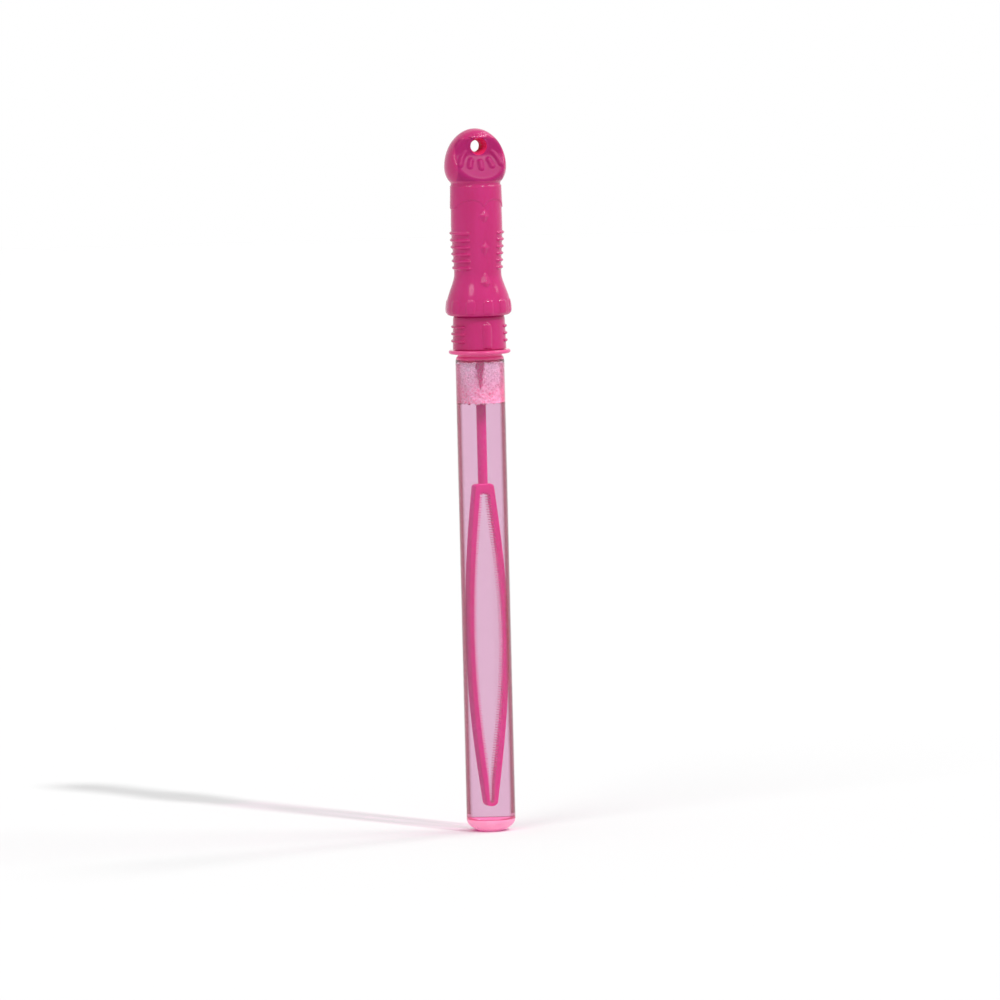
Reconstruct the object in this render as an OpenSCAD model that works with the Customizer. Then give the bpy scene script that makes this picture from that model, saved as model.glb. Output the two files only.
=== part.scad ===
// Bubble wand: a long tube of bubble solution, closed by a screw cap with a sword style handle,
// and a stick with a toothed loop that hangs from the cap into the tube.
// Millimetres. +Z runs up the wand, the handle's front faces -Y, and the foot's centre is the origin.

/* [Tube] */
// Outside diameter of the tube
tube_d = 25.4; // [25:0.1:30]
// Wall of the tube
tube_wall = 1.1; // [0.8:0.05:1.5]
// Height of the tube from its foot to the top of its shoulder
tube_h = 247.2; // [230:0.2:300]
// Height of the domed lower end
dome_h = 6.3; // [5:0.1:9]
// Diameter of the flat that the tube stands on
foot_d = 11.4; // [8:0.2:16]
// Thickness of the tube's floor
floor_t = 3.4; // [1.5:0.1:5]
// Height of the rounded shoulder
shoulder_h = 3.4; // [2:0.1:5]

/* [Neck] */
// Outside diameter of the short neck under the support ring
throat_d = 23.2; // [22.6:0.1:24.4]
// Height of the short neck under the support ring
throat_h = 1.2; // [0.6:0.1:3]
// Outside diameter of the support ring
ring_d = 32.2; // [29.6:0.1:36]
// Thickness of the support ring
ring_t = 2.1; // [1.2:0.1:3]
// Outside diameter of the threaded neck, without its thread
neck_d = 21.4; // [21:0.1:21.8]
// Height of the threaded neck above the support ring
neck_h = 11.1; // [10.4:0.1:13]
// Diameter of the opening through the neck
mouth_d = 19.2; // [18.8:0.1:19.6]
// Rounding of the neck's lip
lip_round = 0.4; // [0.1:0.05:0.5]

/* [Thread] */
// Rise of the cap in one turn
thread_lead = 4; // [3.4:0.1:4.6]
// Height of the thread ridge above the neck
thread_depth = 0.8; // [0.5:0.05:0.9]
// Width of the thread ridge at its root
thread_root_w = 1.4; // [1:0.1:1.6]
// Width of the thread ridge at its crest
thread_crest_w = 0.7; // [0.4:0.1:0.9]
// Height of the lower end of the neck's thread above the support ring
thread_start = 3; // [2.8:0.1:3.4]
// Turns of thread on the neck and in the cap
thread_turns = 0.94; // [0.7:0.02:0.96]

/* [Screw cap] */
// Height of the cap's grip collar
cap_h = 17.4; // [16:0.2:20]
// Outside diameter of the collar at its lower edge
cap_d = 27.8; // [27:0.1:29]
// Outside diameter of the collar under its rounded top edge
cap_top_d = 27; // [26.6:0.1:28.6]
// Height of the rounded top edge
cap_round_h = 2.7; // [1:0.1:4]
// How far the rounded top edge draws in
cap_round_in = 0.8; // [0.2:0.1:1.4]
// Thickness of the cap's ceiling
ceiling_t = 1.8; // [1.2:0.1:2.4]
// Outside diameter of the socket that holds the stick
socket_d = 5.7; // [5:0.1:6.6]
// Length of the socket below the ceiling
socket_h = 16.8; // [10:0.2:18]
// Thickness of the sealing washer
seal_t = 1.2; // [0.8:0.1:2]

/* [Handle] */
// Largest diameter of the bell at the handle's lower end
bell_d = 33.8; // [32:0.2:38]
// Height of the bell, from its lower edge to the waist
bell_h = 21.6; // [18:0.2:26]
// Diameter of the waist above the bell
waist_d = 24.5; // [24:0.1:27]
// Diameter of the grip where it swells
belly_d = 26.7; // [25:0.1:29]
// Height of the swell above the waist
belly_h = 25.7; // [20:0.1:32]
// Length of the grip, from the waist to the head
grip_h = 47.3; // [44:0.1:60]
// Diameter of the grip under the head
neckline_d = 26; // [25:0.1:28]
// Wall of the handle shells
shell_wall = 1.6; // [1.2:0.1:2]
// Diameter of the head
head_d = 32.4; // [30:0.2:36]
// Height of the head above its widest line
head_top_h = 20.2; // [18:0.2:24]
// Height of the head below its widest line
head_low_h = 7.7; // [6:0.1:9]
// Thickness of the head at the lanyard hole
head_t = 13.4; // [10:0.2:16]
// Thickness of the head where its sloping faces end, just above the grip
face_foot_t = 26; // [22:0.2:30]

/* [Lanyard hole] */
// Diameter of the hole
hole_d = 6.2; // [4:0.1:7]
// Diameter of the hole's flared mouths
hole_mouth_d = 8.9; // [7.4:0.1:10]
// Length of the straight part of the hole
hole_len = 5; // [3:0.2:8]
// Distance from the top of the head to the middle of the hole
hole_drop = 9.2; // [8.4:0.1:11]

/* [Decoration] */
// Number of raised ribs on each side of the grip
grip_ribs = 6; // [3:1:7]
// Distance between the ribs of the grip
grip_rib_pitch = 3.59; // [2.8:0.01:4]
// Number of raised ribs on each side of the cap
cap_ribs = 3; // [2:1:3]
// Distance between the ribs of the cap
cap_rib_pitch = 3.7; // [2.8:0.1:4]
// Width of one rib
rib_w = 1.8; // [1:0.1:2.2]
// Number of raised tabs around the bell
bell_tabs = 10; // [6:2:12]
// Number of raised diamonds up each face of the grip
diamonds = 3; // [1:1:3]
// Number of petals under the lanyard hole
petals = 5; // [3:2:5]

/* [Stick] */
// Diameter of the stick's shaft
shaft_d = 3.8; // [3.4:0.1:4.4]
// Diameter of the peg that turns in the cap's socket
peg_d = 3.4; // [2.6:0.1:3.8]
// Largest width of the loop
loop_w = 17.2; // [14:0.1:17.8]
// Length of the loop
loop_h = 168; // [120:0.5:180]
// Thickness of the loop, front to back
loop_t = 4.5; // [3:0.1:5.5]
// Width of the loop at its upper end
loop_top_w = 7.8; // [6.8:0.1:9]
// Width of the loop at its lower end
loop_foot_w = 5.2; // [4.8:0.1:7]
// Width of the loop's rail without its teeth
rail_w = 2.3; // [1.6:0.1:2.6]
// Length of one tooth
tooth_l = 1.2; // [0.6:0.05:1.4]
// Width of one tooth
tooth_w = 0.66; // [0.4:0.02:0.8]
// Distance between two teeth
tooth_pitch = 1.32; // [1.2:0.02:3]
// Clearance between the loop's lower end and the tube's floor
loop_clear = 9.6; // [4:0.1:20]

/* [Fits] */
// Gap between faces that rest against each other
seat_gap = 0.1; // [0.02:0.01:0.2]
// Gap between the cap and the support ring
cap_gap = 0.3; // [0.3:0.05:1]
// Radial gap between the neck's thread and the cap's
thread_gap = 0.25; // [0.2:0.01:0.3]
// Radial running gap of the peg in its socket and of the socket in the washer
running_gap = 0.06; // [0.03:0.01:0.1]

/* [Hidden] */
$fn = 96;
// Run past a face, for cuts and for solids that are fused
over = 0.5;
// Points on an arc or a curve of an outline
steps = 12;

// Steps of a thread in one turn; its ridge rises out of the wall over the first and last few of
// them, from this share of its height
thread_steps = 60;
thread_fade = 5;
thread_end_share = 0.1;

// Tube and neck, from the foot up
tube_r = tube_d / 2;
foot_r = foot_d / 2;
bore_r = tube_r - tube_wall;
throat_r = throat_d / 2;
ring_r = ring_d / 2;
neck_r = neck_d / 2;
mouth_r = mouth_d / 2;
ring_z = tube_h + throat_h;
neck_z = ring_z + ring_t;
neck_top = neck_z + neck_h;

// Washer and cap
seal_z = neck_top + seat_gap;
ceiling_z = seal_z + seal_t + seat_gap;
ceiling_top = ceiling_z + ceiling_t;
cap_z = neck_z + cap_gap;
cap_top = cap_z + cap_h;
cap_bore_r = neck_r + thread_depth + thread_gap;
socket_r = socket_d / 2;
socket_end = ceiling_z - socket_h;
peg_r = peg_d / 2;

// The cap's plug goes up into the handle, its flats turn the handle and its rim keeps the shells on
plug_r = 10.6;
plug_bore_r = 8.6;
plug_flat = 9.6;
plug_above_rim = 7;
rim_r = 13.5;
rim_t = 1.5;
handle_z = cap_top + seat_gap;
handle_floor = handle_z + shell_wall;
rim_z = handle_floor + seat_gap;
plug_top = rim_z + rim_t + plug_above_rim;

// Handle, from the bell's lower edge up
bell_r = bell_d / 2;
bell_edge_h = 3;
bell_edge_in = 1.7;
bell_curve_share = 0.85;
waist_z = handle_z + bell_h;
belly_z = waist_z + belly_h;
head_z = waist_z + grip_h;
crown_z = head_z + head_low_h;
top_z = crown_z + head_top_h;
head_r = head_d / 2;
// Depth at which the lower half of the head's outline would close
head_low_reach = 13.5;
hole_z = top_z - hole_drop;
hole_r = hole_d / 2;

// The head's faces slope in from just above the grip to the hole, and round in above it
face_rise = 1.5;
face_bend = 1.4;
hole_land = 3.6;
brow_rise = 4.2;
face_low = head_z + face_rise;
face_high = hole_z - hole_land;
brow_z = hole_z + brow_rise;

// Raised band under the head, with two arches on each face
band_proud = 0.4;
band_h = 13.5;
arch_x = 6.2;
arch_r = 7.4;
arch_drop = 8.6;
arch_top = head_z - arch_drop;

// Raised figures: tabs, diamonds, petals and the bar on the cap
figure_proud = 0.6;
tab_w = 4.9;
tab_h = 6.2;
tab_rise = 1.7;
diamond_w = 4.6;
diamond_h = 6.6;
diamond_rises = [-4.7, 13.9, 30.4];
petal_w = 2.4;
petal_in = 6.1;
petal_out = 13.4;
petal_spread = 23;
bar_w = 4.8;
bar_h = 13.8;
bar_rise = 0.9;

// Side ribs start at these angles from the front
grip_rib_angle = 34;
cap_rib_angle = 56;
grip_rib_rise = 3.2;
cap_rib_rise = 4.4;
rib_sink = 0.1;
rib_steps = 6;

// Posts that join the two shells inside the grip
post_r = 3;
post_rises = [10, 38];
pin_r = 1.5;
pin_l = 3;

// Snap head above the peg, and the conical shoulder under the socket
snap_r = 2.6;
snap_h = 2.4;
snap_slot = 0.8;
snap_slot_h = 5;
shoulder_l = 2.4;
shaft_r = shaft_d / 2;

// Loop
loop_z = floor_t + loop_clear;
loop_top = loop_z + loop_h;
loop_belly_share = 0.53;
loop_belly = loop_z + loop_belly_share * loop_h;
loop_foot = loop_z + loop_foot_w / 2;
loop_bridge = 6.4;
arch_teeth = 5;
// The rails take up to this share of the loop's half width where it is narrow
rail_share = 0.6;
window_top = loop_top - loop_bridge;
tooth_count = floor((window_top - loop_foot) / tooth_pitch) + 1;
tooth_depth_share = 0.45;
tooth_tip_share = 0.5;

// Smooth step from a to b while t goes from 0 to 1
function ease(a, b, t) = a + (b - a) * (1 - cos(180 * t)) / 2;

// Angles or heights from a to b in n equal steps
function span(a, b, n = steps) = [for (i = [0 : n]) a + (b - a) * i / n];

// Thread ridge that climbs one lead a turn; it stands out of the wall for side 1 and into it for -1
module thread(wall_r, side, low_z) {
    n = ceil(thread_turns * thread_steps);
    sunk_r = wall_r - side * over / 2;
    // The ridge rises out of the wall at its two ends
    function rise(i) = max(thread_end_share, min(1, i / thread_fade, (n - i) / thread_fade));
    function crest_r(i) = sunk_r + side * (thread_depth + over / 2) * rise(i);
    points = [for (i = [0 : n]) let (a = 360 * thread_turns * i / n, z = low_z + thread_lead * a / 360)
        each [for (p = [[sunk_r, -thread_root_w], [crest_r(i), -thread_crest_w],
                        [crest_r(i), thread_crest_w], [sunk_r, thread_root_w]])
            [p[0] * cos(a), p[0] * sin(a), z + p[1] / 2]]];
    corner = [for (j = [0 : 3]) side > 0 ? 3 - j : j];
    faces = concat(
        [[for (j = corner) j]],
        [[for (j = [3 : -1 : 0]) 4 * n + corner[j]]],
        [for (i = [0 : n - 1], j = [0 : 3]) let (p = 4 * i + corner[j], q = 4 * i + corner[(j + 1) % 4])
            each [[p, p + 4, q + 4], [p, q + 4, q]]]);
    polyhedron(points, faces);
}

// Rounded rib around the +X side, from an angle off the front to the same angle off the back
module side_rib(z, r, from) {
    seat_r = r - rib_sink;
    crest = [for (a = span(-90, 90, rib_steps)) [seat_r, z] + rib_w / 2 * [cos(a), sin(a)]];
    rotate([0, 0, from - 90]) rotate_extrude(angle = 180 - 2 * from)
        polygon(concat([[seat_r - over, z - rib_w / 2]], crest, [[seat_r - over, z + rib_w / 2]]));
}

// Outline of an upright bar of width w whose round ends have their centres at low and high
function bar_outline(w, low, high) = concat(
    [for (a = span(-180, 0, steps / 2)) [0, low] + w / 2 * [cos(a), sin(a)]],
    [for (a = span(0, 180, steps / 2)) [0, high] + w / 2 * [cos(a), sin(a)]]);

// Tube with its neck, support ring and thread

module tube() color([0.93, 0.62, 0.80, 0.45]) {
    foot_angle = acos(foot_r / tube_r);
    dome = [for (a = span(foot_angle, 0)) [tube_r * cos(a), dome_h * (1 - sin(a) / sin(foot_angle))]];
    shoulder = [for (a = span(0, 90)) [throat_r + (tube_r - throat_r) * cos(a),
                                      tube_h - shoulder_h * (1 - sin(a))]];
    ring = [for (a = span(-90, 90)) [ring_r - ring_t / 2 * (1 - cos(a)),
                                     ring_z + ring_t / 2 * (1 + sin(a))]];
    lip = [[neck_r, neck_z], [neck_r, neck_top - lip_round], [neck_r - lip_round, neck_top],
           [mouth_r, neck_top]];
    inner_shoulder = [for (a = span(90, 0)) [mouth_r + (bore_r - mouth_r) * cos(a),
                                            tube_h - tube_wall - shoulder_h * (1 - sin(a))]];
    inner_dome = [for (a = span(0, 90)) [bore_r * cos(a),
                                        floor_t + (dome_h + tube_wall - floor_t) * (1 - sin(a))]];
    rotate_extrude() polygon(concat([[0, 0]], dome, shoulder, [[throat_r, ring_z]], ring, lip,
                                    inner_shoulder, inner_dome));
    thread(neck_r, 1, neck_z + thread_start);
}

// Screw cap with its socket, its plug and the rim that carries the handle

// Solid outline of the collar; grow widens it for the raised bar
module cap_form(grow = 0) {
    corner_r = cap_top_d / 2 - cap_round_in;
    edge = [for (a = span(0, 90)) [corner_r + cap_round_in * cos(a) + grow,
                                  cap_top - cap_round_h * (1 - sin(a))]];
    rotate_extrude() polygon(concat([[0, cap_z], [cap_d / 2 + grow, cap_z]], edge, [[0, cap_top]]));
}

// Radius of the collar at height z
function cap_r(z) = cap_d / 2 + (cap_top_d - cap_d) / 2 * (z - cap_z) / (cap_h - cap_round_h);

module cap_bar() {
    low = cap_z + bar_rise;
    high = low + bar_h - bar_w / 2;
    rotate([90, 0, 0]) linear_extrude(cap_d + 2 * over, center = true)
        polygon(concat([[-bar_w / 2, low], [bar_w / 2, low]],
                       [for (a = span(0, 180)) [0, high] + bar_w / 2 * [cos(a), sin(a)]]));
}

module screw_cap() color([0.87, 0.18, 0.53]) difference() {
    union() {
        difference() {
            union() {
                cap_form();
                intersection() {
                    cap_form(figure_proud);
                    cap_bar();
                }
                for (i = [0 : cap_ribs - 1], side = [0, 1]) {
                    z = cap_z + cap_rib_rise + i * cap_rib_pitch;
                    mirror([side, 0, 0]) side_rib(z, cap_r(z), cap_rib_angle);
                }
                translate([0, 0, cap_top - over]) cylinder(h = plug_top - cap_top + over, r = plug_r);
                translate([0, 0, rim_z]) cylinder(h = rim_t, r = rim_r);
            }
            translate([0, 0, cap_z - over]) cylinder(h = ceiling_z - cap_z + over, r = cap_bore_r);
            translate([0, 0, ceiling_top]) cylinder(h = plug_top - ceiling_top + over, r = plug_bore_r);
            for (side = [0, 1]) mirror([0, side, 0])
                translate([-plug_r - over, plug_flat, cap_top])
                    cube([2 * (plug_r + over), plug_r, rim_z - cap_top]);
        }
        translate([0, 0, socket_end]) cylinder(h = socket_h + over, r = socket_r);
        thread(cap_bore_r, -1, neck_z + thread_start - (thread_root_w + thread_crest_w) / 2 - cap_gap);
    }
    translate([0, 0, socket_end - over])
        cylinder(h = ceiling_top - socket_end + 2 * over, r = peg_r + running_gap);
}

// Sealing washer between the neck's lip and the cap's ceiling

module cap_seal() color([0.96, 0.94, 0.90]) translate([0, 0, seal_z]) difference() {
    cylinder(h = seal_t, r = neck_r);
    translate([0, 0, -over]) cylinder(h = seal_t + 2 * over, r = socket_r + running_gap);
}

// Stick with its toothed loop

// Half width of the loop at height z
function loop_half(z) = z > loop_belly
    ? (loop_top_w + (loop_w - loop_top_w) * sin(90 * (loop_top - z) / (loop_top - loop_belly))) / 2
    : (loop_foot_w + (loop_w - loop_foot_w) * cos(90 * (loop_belly - z) / (loop_belly - loop_foot))) / 2;

function mirrored(points) = [for (i = [len(points) - 1 : -1 : 0]) [-points[i][0], points[i][1]]];

module loop_outline() {
    corner = loop_top_w / 2 - shaft_r;
    side = [for (z = span(loop_foot, loop_top - corner, 6 * steps)) [loop_half(z), z]];
    top_half = loop_half(loop_top - corner);
    foot = [for (a = span(-90, 0)) loop_foot_w / 2 * [cos(a), sin(a)] + [0, loop_foot]];
    top = [for (a = span(0, 90)) [top_half - corner * (1 - cos(a)), loop_top - corner * (1 - sin(a))]];
    right = concat(foot, side, top);
    polygon(concat(right, mirrored(right)));
}

// The window inside the rails, with a comb of teeth along both sides and around its arch
module loop_window() {
    function half(z) = loop_half(z) - min(rail_w, rail_share * loop_half(z));
    arch_half = half(window_top);
    comb = [for (k = [0 : tooth_count - 1])
        let (z = loop_foot + k * tooth_pitch, h = half(z), tip = h - min(tooth_l, tooth_depth_share * h))
        each [for (p = [[h, -1], [tip, -tooth_tip_share], [tip, tooth_tip_share], [h, 1]])
            [p[0], z + p[1] * tooth_w / 2]]];
    tooth_angle = tooth_w / arch_half * 180 / PI;
    arch_tip = arch_half - min(tooth_l, tooth_depth_share * arch_half);
    // The arch starts half a pitch above the last tooth, so that no two teeth cross
    arch_z = loop_foot + (tooth_count - 0.5) * tooth_pitch;
    arch = [for (k = [1 : arch_teeth]) let (a = 180 * k / (arch_teeth + 1))
        each [for (p = [[arch_half, -1], [arch_tip, -tooth_tip_share],
                        [arch_tip, tooth_tip_share], [arch_half, 1]])
            let (b = a + p[1] * tooth_angle / 2) [p[0] * cos(b), arch_z + p[0] * sin(b)]]];
    polygon(concat([[0, loop_foot - half(loop_foot)]], comb, [[arch_half, arch_z]], arch,
                   [[-arch_half, arch_z]], mirrored(comb)));
}

module bubble_stick() color([0.84, 0.17, 0.52]) {
    rotate([90, 0, 0]) linear_extrude(loop_t, center = true) difference() {
        loop_outline();
        loop_window();
    }
    cone_top = socket_end - seat_gap;
    peg_top = ceiling_top + seat_gap;
    translate([0, 0, loop_top - over]) cylinder(h = cone_top - loop_top + over, r = shaft_r);
    translate([0, 0, cone_top - shoulder_l]) cylinder(h = shoulder_l, r1 = shaft_r, r2 = socket_r);
    difference() {
        union() {
            translate([0, 0, cone_top - over]) cylinder(h = peg_top - cone_top + 2 * over, r = peg_r);
            translate([0, 0, peg_top]) cylinder(h = snap_h, r1 = snap_r, r2 = peg_r);
        }
        translate([-snap_slot / 2, -snap_r, peg_top + snap_h - snap_slot_h])
            cube([snap_slot, 2 * snap_r, snap_slot_h + over]);
    }
}

// Handle, in two shells that meet on the plane of the side ribs

function grip_r(z) =
    z < handle_z + bell_edge_h
        ? bell_r - bell_edge_in * (1 - sqrt(1 - pow(1 - (z - handle_z) / bell_edge_h, 2)))
    : z < waist_z
        ? ease(waist_d, bell_d, pow((waist_z - z) / (bell_h - bell_edge_h), bell_curve_share)) / 2
    : z < belly_z ? ease(waist_d, belly_d, (z - waist_z) / belly_h) / 2
    : ease(belly_d, neckline_d, (z - belly_z) / (head_z - belly_z)) / 2;

// Heights at which the grip's outline has its points
grip_heights = concat(span(handle_z, handle_z + bell_edge_h, steps / 2),
                      span(handle_z + bell_edge_h + over, waist_z, 2 * steps),
                      span(waist_z + over, head_z, 2 * steps));

// Solid outline of the bell and grip; grow widens it for raised figures
module grip_form(grow = 0) {
    rotate_extrude() polygon(concat([[0, handle_z]], [for (z = grip_heights) [grip_r(z) + grow, z]],
                                    [[0, head_z]]));
}

module head_form(grow = 0) {
    low = asin(head_low_h / head_low_reach);
    lower = [for (a = span(-low, 0, steps / 2))
        [(head_r + grow) * cos(a), crown_z + head_low_reach * sin(a)]];
    upper = [for (a = span(0, 90)) [(head_r + grow) * cos(a), crown_z + (head_top_h + grow) * sin(a)]];
    slope = [for (t = span(0, 1))
        [(head_t + (face_foot_t - head_t) * pow(1 - t, face_bend)) / 2 + grow,
         face_low + (face_high - face_low) * t]];
    brow = [for (a = span(0, 90, steps / 2))
        [(head_t / 2 + grow) * cos(a), brow_z + (top_z - brow_z + grow) * sin(a)]];
    face = concat([[head_r + over + grow, head_z - over]], slope, brow);
    intersection() {
        rotate_extrude() polygon(concat([[0, head_z - over], [(head_r + grow) * cos(low), head_z - over]],
                                        lower, upper));
        rotate([90, 0, 90]) linear_extrude(head_d + 2 * over, center = true)
            polygon(concat(face, mirrored(face)));
    }
}

// Figures are cut through from the front to the back, so both faces carry them
module through(width = bell_d) {
    rotate([90, 0, 0]) linear_extrude(width + 2 * over, center = true) children();
}

module petal_figures() {
    through() for (k = [0 : petals - 1]) translate([0, hole_z])
        rotate(180 + (k - (petals - 1) / 2) * petal_spread)
            polygon(bar_outline(petal_w, petal_in, petal_out));
}

module diamond_figures() {
    through() for (k = [0 : diamonds - 1]) translate([0, waist_z + diamond_rises[k]])
        polygon([[diamond_w / 2, 0], [0, diamond_h / 2], [-diamond_w / 2, 0], [0, -diamond_h / 2]]);
}

module tab_figures() {
    for (k = [0 : bell_tabs - 1]) rotate([0, 0, 360 / bell_tabs * k])
        translate([-tab_w / 2, -bell_r - over, handle_z + tab_rise]) cube([tab_w, bell_r, tab_h]);
}

module band_figure() {
    through() difference() {
        translate([-bell_r, head_z - band_h]) square([bell_d, band_h]);
        for (x = [-arch_x, arch_x]) translate([x, arch_top - arch_r]) circle(r = arch_r);
    }
}

module handle_body() {
    grip_form();
    head_form();
    intersection() {
        grip_form(band_proud);
        band_figure();
    }
    intersection() {
        grip_form(figure_proud);
        union() {
            diamond_figures();
            tab_figures();
        }
    }
    intersection() {
        head_form(figure_proud);
        petal_figures();
    }
    for (i = [0 : grip_ribs - 1], side = [0, 1]) {
        z = waist_z + grip_rib_rise + i * grip_rib_pitch;
        mirror([side, 0, 0]) side_rib(z, grip_r(z), grip_rib_angle);
    }
}

module handle_hollow() {
    low = [for (z = grip_heights) if (z > handle_floor) [grip_r(z) - shell_wall, z]];
    dome_r = neckline_d / 2 - shell_wall;
    dome = [for (a = span(0, 90)) [dome_r * cos(a), head_z + head_low_h * sin(a)]];
    rotate_extrude() polygon(concat([[0, handle_floor], [grip_r(handle_floor) - shell_wall, handle_floor]],
                                    low, dome));
    // Way through the floor for the cap's plug, with its two flats
    intersection() {
        translate([0, 0, handle_z - over]) cylinder(h = shell_wall + 2 * over, r = plug_r + seat_gap);
        translate([-bell_r, -plug_flat - seat_gap, handle_z - over])
            cube([bell_d, 2 * (plug_flat + seat_gap), shell_wall + 2 * over]);
    }
}

module lanyard_hole() {
    half = head_t / 2 + over;
    translate([0, 0, hole_z]) rotate([90, 0, 0]) rotate_extrude()
        polygon([[0, -half], [hole_mouth_d / 2, -half], [hole_r, -hole_len / 2], [hole_r, hole_len / 2],
                 [hole_mouth_d / 2, half], [0, half]]);
}

// One half of the handle: side -1 is the front shell, side 1 the back one
module handle_shell(side) {
    difference() {
        union() {
            difference() {
                handle_body();
                handle_hollow();
            }
            for (rise = post_rises) let (z = waist_z + rise)
                translate([0, 0, z]) rotate([90, 0, 0])
                    cylinder(h = 2 * grip_r(z) - shell_wall, r = post_r, center = true);
        }
        lanyard_hole();
        translate([-bell_d, side > 0 ? -2 * bell_d : 0, handle_z - over])
            cube([2 * bell_d, 2 * bell_d, top_z - handle_z + 2 * over]);
    }
}

module handle_front() color([0.89, 0.19, 0.55]) {
    handle_shell(-1);
    for (rise = post_rises) translate([0, pin_l, waist_z + rise]) rotate([90, 0, 0])
        cylinder(h = pin_l + over, r = pin_r);
}

module handle_back() color([0.85, 0.17, 0.51]) difference() {
    handle_shell(1);
    for (rise = post_rises) translate([0, pin_l + seat_gap, waist_z + rise]) rotate([90, 0, 0])
        cylinder(h = pin_l + seat_gap + over, r = pin_r + seat_gap);
}

tube();
screw_cap();
cap_seal();
bubble_stick();
handle_front();
handle_back();
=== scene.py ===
# Bubble wand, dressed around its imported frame: soft moulded handle and cap, clear tinted tube,
# bubble solution with its froth, and the toothed stick. Metres; lengths are typed in millimetres.
import math
import random

import bpy
from mathutils import Matrix, Vector


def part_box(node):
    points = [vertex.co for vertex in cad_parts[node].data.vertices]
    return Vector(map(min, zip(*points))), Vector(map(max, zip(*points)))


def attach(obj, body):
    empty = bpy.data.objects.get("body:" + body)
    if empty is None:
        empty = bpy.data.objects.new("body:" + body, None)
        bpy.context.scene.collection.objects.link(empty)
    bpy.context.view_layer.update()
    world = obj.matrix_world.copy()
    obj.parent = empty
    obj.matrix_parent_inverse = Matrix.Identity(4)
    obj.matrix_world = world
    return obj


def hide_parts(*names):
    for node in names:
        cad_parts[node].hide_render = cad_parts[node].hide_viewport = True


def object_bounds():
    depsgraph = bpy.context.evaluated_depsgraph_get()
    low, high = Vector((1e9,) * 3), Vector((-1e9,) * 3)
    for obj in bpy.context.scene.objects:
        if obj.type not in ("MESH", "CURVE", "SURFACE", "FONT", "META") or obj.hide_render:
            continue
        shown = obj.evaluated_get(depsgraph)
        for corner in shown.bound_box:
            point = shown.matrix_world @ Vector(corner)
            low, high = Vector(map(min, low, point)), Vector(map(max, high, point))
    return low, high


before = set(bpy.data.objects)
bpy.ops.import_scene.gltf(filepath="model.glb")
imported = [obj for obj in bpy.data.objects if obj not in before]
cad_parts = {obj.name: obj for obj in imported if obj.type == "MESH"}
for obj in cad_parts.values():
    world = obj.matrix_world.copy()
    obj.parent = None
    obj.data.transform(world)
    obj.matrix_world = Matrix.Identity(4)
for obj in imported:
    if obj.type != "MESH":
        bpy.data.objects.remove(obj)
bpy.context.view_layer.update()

mm = 0.001
weldGap = 0.002 * mm
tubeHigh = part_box("tube")[1]
capLow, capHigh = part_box("screw_cap")
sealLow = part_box("cap_seal")[0]
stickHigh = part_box("bubble_stick")[1]
handleLow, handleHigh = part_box("handle_front")
print("frame loaded")


# Modelling helpers

def clearSelection():
    if bpy.context.mode != "OBJECT":
        bpy.ops.object.mode_set(mode="OBJECT")
    bpy.ops.object.select_all(action="DESELECT")


def pick(piece, *others):
    clearSelection()
    for each in (piece, *others):
        each.select_set(True)
    bpy.context.view_layer.objects.active = piece


def drawChain(name, points):  # one vertex, extruded from point to point
    clearSelection()
    bpy.ops.mesh.primitive_plane_add(size=mm)
    piece = bpy.context.object
    piece.name = piece.data.name = name
    bpy.ops.object.mode_set(mode="EDIT")
    bpy.ops.mesh.merge(type="CENTER")
    bpy.ops.transform.translate(value=points[0])
    for before, after in zip(points, points[1:]):
        bpy.ops.mesh.extrude_vertices_move(TRANSFORM_OT_translate={"value": after - before})
    bpy.ops.mesh.select_all(action="SELECT")
    return piece


def closeUp():
    bpy.ops.mesh.select_all(action="SELECT")
    bpy.ops.mesh.remove_doubles(threshold=weldGap)
    bpy.ops.mesh.normals_make_consistent(inside=False)
    bpy.ops.object.mode_set(mode="OBJECT")


def turned(name, outline, steps=96):  # outline of (radius, height), spun about the wand's axis
    piece = drawChain(name, [Vector((r, 0, z)) for r, z in outline])
    bpy.ops.mesh.spin(steps=steps, angle=2 * math.pi, center=(0, 0, 0), axis=(0, 0, 1))
    closeUp()
    return piece


def rod(name, radius, low, high, steps):  # upright rod in the middle
    return turned(name, [(0, low), (radius, low), (radius, high), (0, high)], steps)


def pulled(name, outline, along, low, high):  # flat outline, pulled along X or Y
    if along == "X":
        points = [Vector((low, across, z)) for across, z in outline]
        pull = (high - low, 0, 0)
    else:
        points = [Vector((across, low, z)) for across, z in outline]
        pull = (0, high - low, 0)
    piece = drawChain(name, points + points[:1])
    bpy.ops.mesh.remove_doubles(threshold=weldGap)
    bpy.ops.mesh.edge_face_add()
    bpy.ops.mesh.extrude_region_move(TRANSFORM_OT_translate={"value": pull})
    closeUp()
    return piece


def slab(name, across, heights, along, depths):  # straight block, each pair from and to
    (left, right), (low, high) = across, heights
    return pulled(name, [(left, low), (right, low), (right, high), (left, high)], along, *depths)


def ridge(name, points, radii, sides=4):  # round bead along a path
    curve = bpy.data.curves.new(name, "CURVE")
    curve.dimensions = "3D"
    curve.bevel_depth = 1
    curve.bevel_resolution = sides
    curve.use_fill_caps = True
    path = curve.splines.new("POLY")
    path.points.add(len(points) - 1)
    for knot, place, radius in zip(path.points, points, radii):
        knot.co = (*place, 1)
        knot.radius = radius
    piece = bpy.data.objects.new(name, curve)
    bpy.context.collection.objects.link(piece)
    pick(piece)
    bpy.ops.object.convert(target="MESH")
    piece = bpy.context.object
    bpy.ops.object.mode_set(mode="EDIT")
    closeUp()
    return piece


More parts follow.
